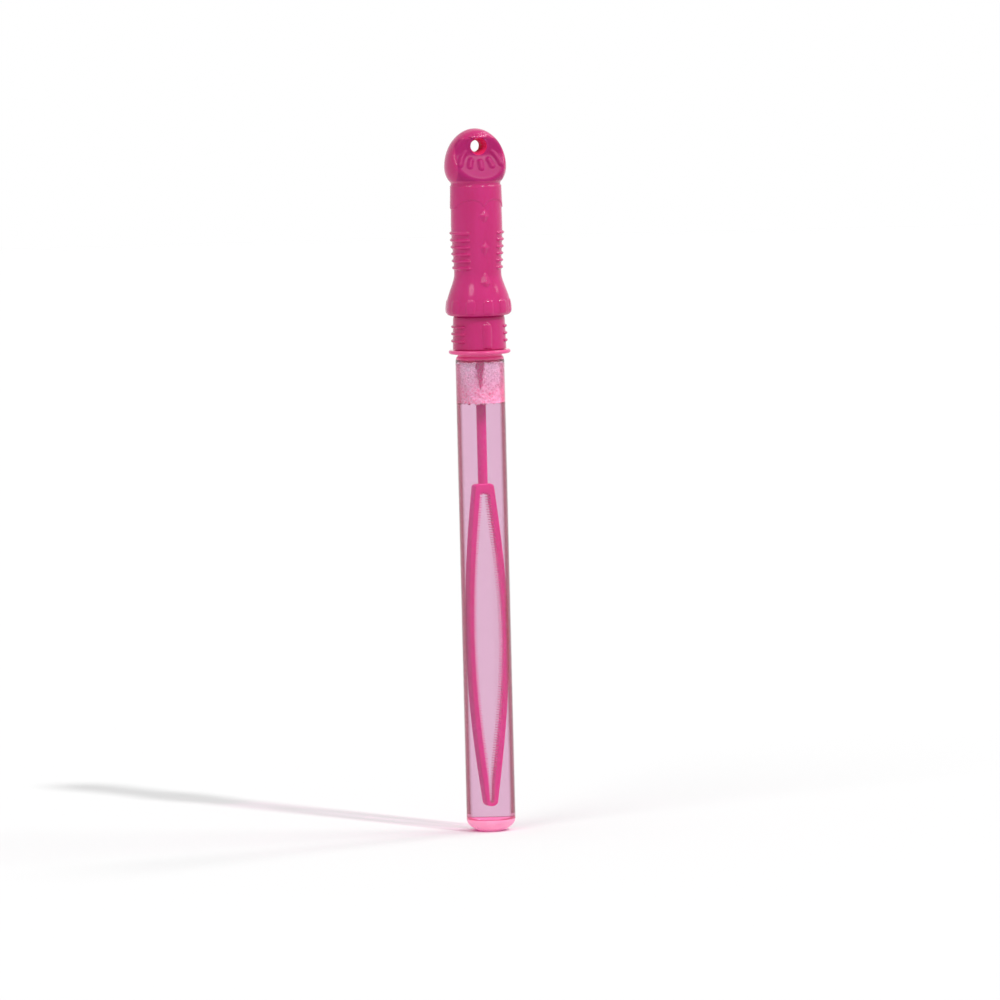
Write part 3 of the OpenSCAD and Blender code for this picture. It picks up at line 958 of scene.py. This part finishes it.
def capBars():  # a rounded upright bar in the middle of the front and of the back
    bars = []
    for side in (-1, 1):
        places = []
        for z in span(capZ + cap["barRise"], capZ + cap["barRise"] + cap["barHeight"], 10):
            reach = capRadius(z) + cap["barProud"] - cap["barRadius"]
            places.append(Vector((0, side * reach, z)))
        radii = [cap["barRadius"]] * len(places)
        for i, share in cap["barTaper"].items():
            radii[i] = cap["barRadius"] * share
        bars.append(ridge("capBar", places, radii, 8))
    return bars


screw = {
    "steps": 72,
    "turns": 0.94,
    "lead": 4 * mm,
    "endShare": 1 / 12,
    "endThickness": 0.25,
}


def helixBead(name, radius, low, thickness):  # one turn of thread that runs out at both ends
    places = []
    radii = []
    for share in span(0, 1, screw["steps"]):
        turns = screw["turns"] * share
        angle = 2 * math.pi * turns
        z = low + screw["lead"] * turns
        places.append(Vector((radius * math.cos(angle), radius * math.sin(angle), z)))
        end = min(1, min(share, 1 - share) / screw["endShare"])
        full = screw["endThickness"] + (1 - screw["endThickness"]) * math.sin(math.pi / 2 * end)
        radii.append(thickness * full)
    return ridge(name, places, radii, 3)


def buildCap():
    body = collarForm("screwCap")
    heights = [capZ + rib["capRise"] + i * rib["capPitch"] for i in range(rib["capCount"])]
    extras = capBars() + sideRibs("capRib", heights, capRadius, rib["capAngle"])
    fused(body, extras, cap["voxel"], cap["softness"])
    rimLow, rimHigh = capZ + cap["rimLow"], capZ + cap["rimHigh"]
    plug = turned("plug", [(0, collarTop - mm), (cap["plugRadius"], collarTop - mm),
                           (cap["plugRadius"], rimLow), (cap["rimRadius"], rimLow),
                           (cap["rimRadius"], rimHigh), (cap["plugRadius"], rimHigh),
                           (cap["plugRadius"], capHigh.z), (0, capHigh.z)], 96)
    past = cap["toolReach"]
    for side in (-1, 1):
        flat = slab("plugFlat", (side * cap["plugFlat"], side * past), (collarTop, rimLow), "X",
                    (-past, past))
        combine(plug, flat, "DIFFERENCE")
    combine(body, plug, "UNION")
    under, top = capZ + cap["ceilingUnder"], capZ + cap["ceilingTop"]
    bore, mouth = cap["boreRadius"], cap["boreMouth"]
    inside = turned("bore", [(0, capZ - mm), (bore + mouth, capZ - mm), (bore + mouth, capZ),
                             (bore, capZ + mouth), (bore, under), (0, under)], 96)
    combine(body, inside, "DIFFERENCE")
    combine(body, rod("plugBore", cap["plugBore"], top, capHigh.z + mm, 96), "DIFFERENCE")
    socket = rod("socket", cap["socketRadius"], capLow.z, top - cap["socketDrop"], 48)
    combine(body, socket, "UNION")
    combine(body, rod("pegHole", cap["pegHole"], capLow.z - mm, top + mm, 48), "DIFFERENCE")
    thread = helixBead("capThread", bore + cap["threadSunk"], capZ + cap["threadRise"],
                       cap["threadThickness"])
    combine(body, thread, "UNION")
    return smoothShaded(body, 40)


screwCap = buildCap()
screwCap.data.materials.append(capFinish)
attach(screwCap, "handle")
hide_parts("screw_cap")
print("screw cap", len(screwCap.data.polygons), "faces")


# Tube with its support ring and threaded neck

tube = {
    "radius": 12.7 * mm,
    "bore": 11.6 * mm,
    "boreDrop": 0.5 * mm,
    "floor": 3.4 * mm,
    "domeHeight": 6.3 * mm,
    "footRadius": 5.7 * mm,
    "footHollow": 0.5 * mm,
    "footRing": 1.2 * mm,
    "footEdge": 0.5 * mm,
    "shoulderHeight": 3.4 * mm,
    "wall": 1.1 * mm,
    "throat": 11.6 * mm,
    "throatHeight": 1.2 * mm,
    "ringCorner": 0.3 * mm,
    "ringRadius": 16.1 * mm,
    "ringThickness": 2.1 * mm,
    "neckRadius": 10.7 * mm,
    "mouthRadius": 9.6 * mm,
    "lip": 0.4 * mm,
    "edge": 0.2 * mm,
    "neckHeight": 11.1 * mm,
    "threadRise": 3 * mm,
    "threadThickness": 0.75 * mm,
    "neckFinishDrop": 1.7 * mm,
    "footFinishRise": 6.3 * mm,
}
neckZ = tubeHigh.z - tube["neckHeight"]
ringZ = neckZ - tube["ringThickness"]
tubeTop = ringZ - tube["throatHeight"]


def boreOutline(high):  # the inner wall, from the middle of the floor up to a height
    outline = []
    rise = tube["domeHeight"] + tube["wall"] - tube["floor"]
    for angle in span(math.pi / 2, 0, 16):
        outline.append((tube["bore"] * math.cos(angle),
                        tube["floor"] + rise * (1 - math.sin(angle))))
    outline[0] = (0, tube["floor"])
    return outline + [(tube["bore"], z) for z in span(outline[-1][1], high, 24)[1:]]


def shoulder(radius, reach, z, upwards=True):  # a quarter of an ellipse, up to the neck or down
    angles = span(0, math.pi / 2, 12) if upwards else span(math.pi / 2, 0, 12)
    rise = tube["shoulderHeight"]
    return [(radius + reach * math.cos(angle), z + rise * math.sin(angle)) for angle in angles]


def buildTube():
    radius, throat, foot = tube["radius"], tube["throat"], tube["footRadius"]
    start = math.acos(foot / radius)
    hollow = tube["footHollow"]
    outline = [(0, hollow), (foot - tube["footRing"], 0.9 * hollow), (foot - tube["footEdge"], 0)]
    for angle in span(start, 0, 16):
        outline.append((radius * math.cos(angle),
                        tube["domeHeight"] * (1 - math.sin(angle) / math.sin(start))))
    straight = tubeTop - tube["shoulderHeight"]
    outline += [(radius, z) for z in span(tube["domeHeight"], straight, 24)[1:-1]]
    outline += shoulder(throat, radius - throat, straight)
    corner = tube["ringCorner"]
    outline += [(throat, ringZ - corner), (throat + corner, ringZ)]
    half = tube["ringThickness"] / 2
    for angle in span(-math.pi / 2, math.pi / 2, 12):
        outline.append((tube["ringRadius"] - half * (1 - math.cos(angle)),
                        ringZ + half * (1 + math.sin(angle))))
    neck, lip, edge = tube["neckRadius"], tube["lip"], tube["edge"]
    outline += [(neck + edge, neckZ), (neck, neckZ + edge), (neck, tubeHigh.z - lip)]
    for angle in span(0, math.pi / 2, 4)[1:]:
        outline.append((neck - lip * (1 - math.cos(angle)),
                        tubeHigh.z - lip * (1 - math.sin(angle))))
    mouth = tube["mouthRadius"]
    outline += [(mouth + edge, tubeHigh.z), (mouth, tubeHigh.z - edge)]
    inner = straight - tube["wall"]
    outline += shoulder(mouth, tube["bore"] - mouth, inner, upwards=False)
    outline += reversed(boreOutline(inner - tube["boreDrop"]))
    body = turned("clearTube", outline, 128)
    thread = helixBead("neckThread", neck, neckZ + tube["threadRise"], tube["threadThickness"])
    combine(body, thread, "UNION")
    return smoothShaded(body, 60)


clearTube = buildTube()
for finish in (tubeFinish, neckGlowFinish, footGlowFinish):
    clearTube.data.materials.append(finish)
for face in clearTube.data.polygons:  # the thick neck and foot take the finish with painted glow
    if face.center.z > tubeTop - tube["neckFinishDrop"]:
        face.material_index = 1
    elif face.center.z < tube["footFinishRise"]:
        face.material_index = 2
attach(clearTube, "tube")
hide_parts("tube")
print("tube", len(clearTube.data.polygons), "faces")


# Bubble solution and the froth on it

solution = {  # it wets the tube up to the top of the froth
    "top": 243.2 * mm,
    "meniscus": 0.3 * mm,
    "meniscusPlaces": (0.97, 0.9, 0.78, 0.5),
    "meniscusBend": 8,
    "overlap": 0.03 * mm,  # it sinks into the tube's wall, as nothing shows between them
}


def buildSolution():
    overlap, top, meniscus = solution["overlap"], solution["top"], solution["meniscus"]
    outline = [(r + (overlap if r else 0), z - overlap) for r, z in boreOutline(top + meniscus)]
    edge = outline[-1][0]
    for share in solution["meniscusPlaces"]:  # the meniscus climbs at the wall
        outline.append((edge * share, top + meniscus * share ** solution["meniscusBend"]))
    outline.append((0, top))
    return smoothShaded(turned("bubbleSolution", outline, 128), 50)


liquid = buildSolution()
liquid.data.materials.append(liquidFinish)
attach(liquid, "tube")
print("solution", len(liquid.data.polygons), "faces")


froth = {
    "low": 222.9 * mm,
    "top": 243.9 * mm,
    "radius": 11.4 * mm,
    "rimRadius": 11.1 * mm,
    "rimTop": 244.6 * mm,
    "shaftGap": 2.1 * mm,
    "dip": 3 * mm,
    "dentScale": 1.5 * mm,
    "dentDepth": 0.5 * mm,
    "bubbles": 150,
    "bubbleSmall": 0.3 * mm,
    "bubbleLarge": 0.75 * mm,
    "topStray": (-0.6 * mm, 0.2 * mm),
    "lowStray": (-0.1 * mm, 0.4 * mm),
}
frothLook = {
    "lowColour": rgb(238, 108, 154),
    "topColour": rgb(240, 200, 224),
    "skinColour": rgb(255, 236, 246),
    # painted glow: emission that brightens the froth as if it were lit
    "glow": 0.1,
    "roughness": 0.18,
    "roughnessSpan": 0.2,
    "cellScale": 620,
    "cellSkin": 0.6,
    "cellRelief": 1.4,
    "fineScale": 1426,
    "fineSkin": 0.8,
    "patchScale": 210,
    "skinFrom": 0.06,
    "skinTo": 0.32,
    "skinCover": 0.7,
    "hollowCover": 0.62,
    "hollowPatches": 1.1,
    "hollowRise": 1.4,
    "mottle": 0.9,
    "mottleDrop": 0.42,
    "mottleFrom": 0.1,
    "mottleTo": 0.75,
    "wedgeTurn": -17.8,  # degrees about the wand's axis
    "wedgeHalf": 2.3 * mm,
    "wedgeFrom": 0.3,
    "wedgeRag": 2.4 * mm,
    "wedgeSkin": 0.3,
    "subsurface": 0.3,
    "subsurfaceReach": (1.0, 0.6, 0.7),
    "subsurfaceScale": 0.6 * mm,
    "bump": 0.5,
    "bumpDepth": 0.3 * mm,
}


def buildFroth():
    # A ring of froth round the shaft, dented by its bubbles; loose bubbles sit at both ends
    outer, inner = froth["radius"], froth["shaftGap"]
    low, top = froth["low"], froth["top"]
    edge, high, dip = froth["rimRadius"], froth["rimTop"], froth["dip"]
    outline = [(r, low) for r in span(inner, outer, 28)]
    outline += [(outer, z) for z in span(low, top, 72)[1:]]
    for r in span(edge, inner, 28):
        outline.append((r, high - dip * (1 - (r - inner) / (edge - inner)) ** 2))
    outline += [(inner, z) for z in span(high - dip, low, 24)[1:]]
    foam = turned("bubbleFroth", outline, 220)
    dents = bpy.data.textures.new("frothDents", "VORONOI")
    dents.noise_scale = froth["dentScale"]
    applied(foam, "DISPLACE", texture=dents, texture_coords="LOCAL",
            strength=-froth["dentDepth"], mid_level=0)
    random.seed(4)
    bubbles = []
    for k in range(froth["bubbles"]):
        size = random.uniform(froth["bubbleSmall"], froth["bubbleLarge"])
        turn = random.uniform(0, 2 * math.pi)
        level, stray = (top, froth["topStray"]) if k % 2 else (low, froth["lowStray"])
        z = level + random.uniform(*stray)
        place = ((outer - size) * math.cos(turn), (outer - size) * math.sin(turn), z)
        clearSelection()
        bpy.ops.mesh.primitive_uv_sphere_add(segments=8, ring_count=6, radius=size, location=place)
        bubbles.append(bpy.context.object)
    pick(foam, *bubbles)
    bpy.ops.object.join()
    return smoothShaded(foam, 180)


def frothFinish(name, look):
    # Bubbles: pale skins over pinker hollows, thinner and clearer towards the top
    finish = Finish(bpy.data.materials.new(name))
    rise = finish.add("ShaderNodeMapRange", {}, {
        "Value": finish.height(), "From Min": froth["low"], "From Max": froth["top"]})
    cells = finish.add("ShaderNodeTexVoronoi", {"feature": "DISTANCE_TO_EDGE"}, {
        "Vector": finish.place(), "Scale": look["cellScale"]})
    fine = finish.add("ShaderNodeTexVoronoi", {"feature": "DISTANCE_TO_EDGE"}, {
        "Vector": finish.place(), "Scale": look["fineScale"]})
    patches = finish.noise(look["patchScale"], 4)
    skin = finish.ramp(cells * look["cellSkin"] + fine * look["fineSkin"], [
        (look["skinFrom"], grey(1)), (look["skinTo"], grey(0))])
    mottle = finish.ramp(rise * look["mottle"] + patches * look["mottle"] - look["mottleDrop"], [
        (look["mottleFrom"], grey(0)), (look["mottleTo"], grey(1))])
    body = finish.blend(mottle, look["lowColour"], look["topColour"])
    colour = finish.blend(skin, body, look["skinColour"])
    hollow = finish.add("ShaderNodeMath", {"operation": "SUBTRACT", "use_clamp": True}, {
        0: look["hollowCover"] + patches * look["hollowPatches"], 1: rise * look["hollowRise"]})
    solid = finish.add("ShaderNodeMath", {"operation": "MAXIMUM"}, {
        0: hollow, 1: skin * look["skinCover"]})
    # The shaft shows through a ragged wedge that narrows downwards
    turn = math.radians(look["wedgeTurn"])
    across = finish.add("ShaderNodeVectorMath", {"operation": "DOT_PRODUCT"}, {
        0: finish.place(), 1: (math.cos(turn), math.sin(turn), 0)}, output=1)
    apart = finish.add("ShaderNodeMath", {"operation": "ABSOLUTE"}, {0: across})
    half = finish.add("ShaderNodeMapRange", {}, {
        "Value": rise, "From Min": look["wedgeFrom"], "To Min": 0.0, "To Max": look["wedgeHalf"]})
    ragged = apart + (patches - 0.5) * look["wedgeRag"]
    parted = finish.add("ShaderNodeMath", {"operation": "LESS_THAN"}, {0: ragged, 1: half})
    bubble = finish.add("ShaderNodeBsdfPrincipled", {}, {
        "Base Color": colour,
        # painted glow: emission in the froth's own colour
        "Emission Color": colour,
        "Emission Strength": look["glow"],
        "Roughness": look["roughness"] + patches * look["roughnessSpan"],
        "Subsurface Weight": look["subsurface"],
        "Subsurface Radius": look["subsurfaceReach"],
        "Subsurface Scale": look["subsurfaceScale"],
        "Alpha": solid * (1 - parted * (1 - skin * look["wedgeSkin"])),
        "Normal": finish.bump(cells * look["cellRelief"] + fine, look["bump"], look["bumpDepth"])})
    return finish.show(bubble)


foam = buildFroth()
foam.data.materials.append(frothFinish("soapFroth", frothLook))
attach(foam, "tube")
print("froth", len(foam.data.polygons), "faces")


# Stick: shaft, snap peg and a long loop with a comb of teeth

stick = {
    "shaftRadius": 1.9 * mm,
    "pegRadius": 1.7 * mm,
    "loopWidth": 17.2 * mm,
    "loopLow": 13 * mm,
    "loopHeight": 168 * mm,
    "thickness": 4.5 * mm,
    "topWidth": 7.8 * mm,
    "footWidth": 5.2 * mm,
    "bellyShare": 0.53,
    "rail": 2.3 * mm,
    "railShare": 0.6,
    "tooth": 1.2 * mm,
    "toothShare": 0.45,
    "toothWidth": 0.7 * mm,
    "toothPitch": 1.32 * mm,
    "bridge": 6.4 * mm,
    "archTeeth": 5,
    "edge": 0.45 * mm,
    "windowReach": 8 * mm,
    "shaftSunk": 0.6 * mm,
    "coneHeight": 2.4 * mm,
    "coneGap": 0.1 * mm,
    "coneEdge": 0.15 * mm,
    "snapRadius": 2.6 * mm,
    "snapHeight": 2.4 * mm,
    "snapEdge": 0.2 * mm,
    "snapSlot": 0.8 * mm,
    "slotDepth": 5 * mm,
    "slotReach": 4 * mm,
}
loopTop = stick["loopLow"] + stick["loopHeight"]
loopBelly = stick["loopLow"] + stick["bellyShare"] * stick["loopHeight"]
loopFoot = stick["loopLow"] + stick["footWidth"] / 2


def loopHalf(z):  # half the loop's width at a height
    wide = stick["loopWidth"]
    if z > loopBelly:
        bend = math.sin(math.pi / 2 * (loopTop - z) / (loopTop - loopBelly))
        return (stick["topWidth"] + (wide - stick["topWidth"]) * bend) / 2
    bend = math.cos(math.pi / 2 * (loopBelly - z) / (loopBelly - loopFoot))
    return (stick["footWidth"] + (wide - stick["footWidth"]) * bend) / 2


def windowHalf(z):
    return loopHalf(z) - min(stick["rail"], stick["railShare"] * loopHalf(z))


def bothSides(right):  # the right half of an outline, then its mirror image
    return right + [(-x, z) for x, z in reversed(right) if x > 0]


def loopPlate():
    corner = stick["topWidth"] / 2 - stick["shaftRadius"]
    half = stick["footWidth"] / 2
    right = [(half * math.cos(a), loopFoot + half * math.sin(a)) for a in span(-math.pi / 2, 0, 8)]
    right[0] = (0, stick["loopLow"])
    right += [(loopHalf(z), z) for z in span(loopFoot, loopTop - corner, 90)[1:]]
    edge = loopHalf(loopTop - corner)
    for angle in span(0, math.pi / 2, 8)[1:]:
        right.append((edge - corner * (1 - math.cos(angle)),
                      loopTop - corner * (1 - math.sin(angle))))
    deep = stick["thickness"] / 2
    plate = pulled("bubbleStick", bothSides(right), "Y", -deep, deep)
    return applied(plate, "BEVEL", width=stick["edge"], segments=3, limit_method="ANGLE",
                   angle_limit=math.radians(60))


def loopWindow():
    windowTop = loopTop - stick["bridge"]
    count = int((windowTop - loopFoot) / stick["toothPitch"]) + 1
    wide = stick["toothWidth"]
    right = [(0, loopFoot - windowHalf(loopFoot))]
    for k in range(count):
        z = loopFoot + k * stick["toothPitch"]
        side = windowHalf(z)
        tip = side - min(stick["tooth"], stick["toothShare"] * side)
        right += [(side, z - wide / 2), (tip, z - wide / 4),
                  (tip, z + wide / 4), (side, z + wide / 2)]
    arch = windowHalf(windowTop)
    archZ = loopFoot + (count - 0.5) * stick["toothPitch"]
    tip = arch - min(stick["tooth"], stick["toothShare"] * arch)
    right.append((arch, archZ))
    half = wide / arch / 2
    for k in range(1, stick["archTeeth"] + 1):
        middle = math.pi * k / (stick["archTeeth"] + 1)
        for radius, turn in ((arch, -half), (tip, -half / 2), (tip, half / 2), (arch, half)):
            angle = middle + turn
            right.append((radius * math.cos(angle), archZ + radius * math.sin(angle)))
    left = [(-x, z) for x, z in reversed(right[1:1 + 4 * count])]
    reach = stick["windowReach"]
    return pulled("loopWindow", right + [(-arch, archZ)] + left, "Y", -reach, reach)


def buildStick():
    loop = combine(loopPlate(), loopWindow(), "DIFFERENCE")
    top = stickHigh.z
    snapZ = top - stick["snapHeight"]
    shaft, peg, snap = stick["shaftRadius"], stick["pegRadius"], stick["snapRadius"]
    coneTop = capLow.z - stick["coneGap"]
    cone, edge = cap["socketRadius"], stick["coneEdge"]
    low = loopTop - stick["shaftSunk"]
    outline = [(0, low)] + [(shaft, z) for z in span(low, coneTop - stick["coneHeight"], 12)]
    outline += [(cone - edge, coneTop - edge), (cone - 2 * edge, coneTop), (peg, coneTop),
                (peg, snapZ), (snap, snapZ), (snap, snapZ + stick["snapEdge"]),
                (peg, top), (0, top)]
    combine(loop, turned("shaft", outline, 48), "UNION")
    half, reach = stick["snapSlot"] / 2, stick["slotReach"]
    slot = slab("snapSlot", (-half, half), (top - stick["slotDepth"], top + mm), "Y",
                (-reach, reach))
    combine(loop, slot, "DIFFERENCE")
    return smoothShaded(loop, 40)


bubbleStick = buildStick()
bubbleStick.data.materials.append(stickGlowFinish)
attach(bubbleStick, "stick")
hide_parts("bubble_stick")
print("stick", len(bubbleStick.data.polygons), "faces")


# Studio: white floor that keeps the shadow, four lamps, white surroundings

studio = {
    "azimuth": -17.8,
    "elevation": 4.5,
    "distance": 5.0,
    "sensor": 36,
    "frameWidth": 518.4 * mm,
    "lookUp": 172 * mm,
    "lookRight": 8.66 * mm,
    "roll": 1.4,
    "lamps": [  # name, azimuth, elevation, angle across, strength
        ("keyLamp", 22.8, 45.7, 3, 1.35),
        ("leftLamp", -51, 45, 25, 0.7),
        ("rightLamp", 78, 40, 30, 0.9),
        ("crownLamp", 108, 55, 10, 0.42),
    ],
    "worldDiffuse": 0.6,
    "floorRadius": 6,
    "floorShare": 0.85,
    "floorBounce": 0.8,
    "white": 1.005,
}


def direction(azimuth, elevation):  # towards a place seen from the wand; azimuth 0 is its front
    a, e = math.radians(azimuth), math.radians(elevation)
    return Vector((math.sin(a) * math.cos(e), -math.cos(a) * math.cos(e), math.sin(e)))


def aimed(owner, place, target, roll=0.0):
    owner.location = place
    turn = (target - place).to_track_quat("-Z", "Y").to_matrix()
    owner.rotation_euler = (turn @ Matrix.Rotation(math.radians(roll), 3, "Z")).to_euler()


def placeCamera():
    cameraData = bpy.data.cameras.new("photoCamera")
    cameraData.sensor_width = studio["sensor"]
    cameraData.lens = studio["sensor"] * studio["distance"] / studio["frameWidth"]
    cameraData.clip_end = 10 * studio["distance"]
    camera = bpy.data.objects.new("photoCamera", cameraData)
    bpy.context.scene.collection.objects.link(camera)
    back = direction(studio["azimuth"], studio["elevation"])
    right = direction(studio["azimuth"] + 90, 0)
    target = Vector((0, 0, studio["lookUp"])) + right * studio["lookRight"]
    aimed(camera, target + back * studio["distance"], target, -studio["roll"])
    bpy.context.scene.camera = camera


def lightStudio():
    middle = Vector((0, 0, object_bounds()[1].z / 2))
    for name, azimuth, elevation, angle, strength in studio["lamps"]:
        lampData = bpy.data.lights.new(name, "SUN")
        lampData.angle = math.radians(angle)
        lampData.energy = strength
        lamp = bpy.data.objects.new(name, lampData)
        bpy.context.scene.collection.objects.link(lamp)
        aimed(lamp, middle + direction(azimuth, elevation), middle)


def seenDirectly(finish):  # camera, mirror and see-through rays
    camera, glossy, clear = [finish.add("ShaderNodeLightPath", output="Is %s Ray" % kind)
                             for kind in ("Camera", "Glossy", "Transmission")]
    return finish.add("ShaderNodeMath", {"operation": "ADD", "use_clamp": True}, {
        0: camera + glossy, 1: clear})


def dressWorld():
    world = bpy.data.worlds.new("whiteStudio")
    bpy.context.scene.world = world
    finish = Finish(world)
    strength = seenDirectly(finish) * (1 - studio["worldDiffuse"]) + studio["worldDiffuse"]
    light = finish.add("ShaderNodeBackground", {}, {"Color": grey(1), "Strength": strength})
    finish.add("ShaderNodeOutputWorld", {}, {"Surface": light})


def dressFloor():
    # The lit floor reaches white: its glow makes up what the lamps and the world leave
    level = studio["worldDiffuse"]
    for name, azimuth, elevation, angle, strength in studio["lamps"]:
        level += strength * math.sin(math.radians(elevation)) / math.pi
    glowLevel = studio["white"] - studio["floorShare"] * level
    clearSelection()
    bpy.ops.mesh.primitive_circle_add(vertices=64, radius=studio["floorRadius"], fill_type="NGON")
    floor = bpy.context.object
    floor.name = "studioFloor"
    finish = Finish(bpy.data.materials.new("whiteFloor"))
    shaded = finish.add("ShaderNodeBsdfDiffuse", {}, {"Color": grey(studio["floorShare"])})
    glow = finish.add("ShaderNodeEmission", {}, {"Strength": glowLevel})
    shown = finish.add("ShaderNodeAddShader", {}, {0: shaded, 1: glow})
    plain = finish.add("ShaderNodeBsdfDiffuse", {}, {"Color": grey(studio["floorBounce"])})
    mixed = finish.add("ShaderNodeMixShader", {}, {0: seenDirectly(finish), 1: plain, 2: shown})
    floor.data.materials.append(finish.show(mixed))


placeCamera()
lightStudio()
dressWorld()
dressFloor()
bpy.context.scene.view_settings.view_transform = "Standard"
print("studio set")
